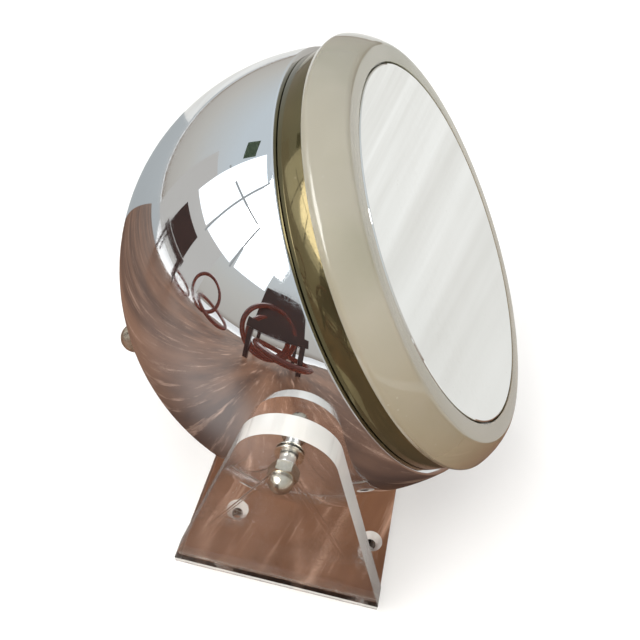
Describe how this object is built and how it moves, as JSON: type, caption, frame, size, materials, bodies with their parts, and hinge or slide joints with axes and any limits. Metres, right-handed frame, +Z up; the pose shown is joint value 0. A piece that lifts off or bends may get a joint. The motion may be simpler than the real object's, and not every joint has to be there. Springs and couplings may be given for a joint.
{
  "type": "tilting ball mirror",
  "caption": "Round shaving mirror in the mouth of a chromed metal ball, tilting on two pivots between the tapered arms of a bent clear acrylic bracket.",
  "frame": {"origin": "centre of the underside of the bracket's base plate, straight below the pivot axis", "axes": "+Z up; +X along the pivot axis, from the left arm to the right arm as seen by someone facing the mirror; the mirror looks towards -Y and 35 degrees up"},
  "size_m": [0.2456, 0.2068, 0.2156],
  "materials": {
    "clear": "clear polished acrylic",
    "chrome": "mirror polished",
    "bronze": "glossy dark olive bronze",
    "smoke": "polished smoky champagne acrylic",
    "silvered": "silvered glass",
    "nickel": "polished nickel",
    "steel": "zinc plated"
  },
  "bodies": {
    "stand": {"bracket": "clear"},
    "head": {"dome_shell": "chrome", "collar_band": "bronze", "bezel_ring": "smoke", "mirror_glass": "silvered", "mirror_backing": "steel", "hub_flange": "steel", "hub_locknut": "steel", "tie_rod": "steel", "inner_washer_rear": "steel", "inner_nut_rear": "steel", "rear_rosette": "nickel", "rear_stem": "nickel", "rear_knob": "nickel", "pivot_stud_left": "steel", "inner_nut_left": "steel", "inner_washer_left": "steel", "thrust_washer_left": "nickel", "cap_nut_left": "nickel", "pivot_stud_right": "steel", "inner_nut_right": "steel", "inner_washer_right": "steel", "thrust_washer_right": "nickel", "cap_nut_right": "nickel"}
  },
  "joints": [
    {"name": "head_tilt", "type": "hinge", "parent": "stand", "child": "head", "pos_m": [0, 0, 0.1126], "axis": [1, 0, 0], "range_deg": [-16, 45]}
  ]
}
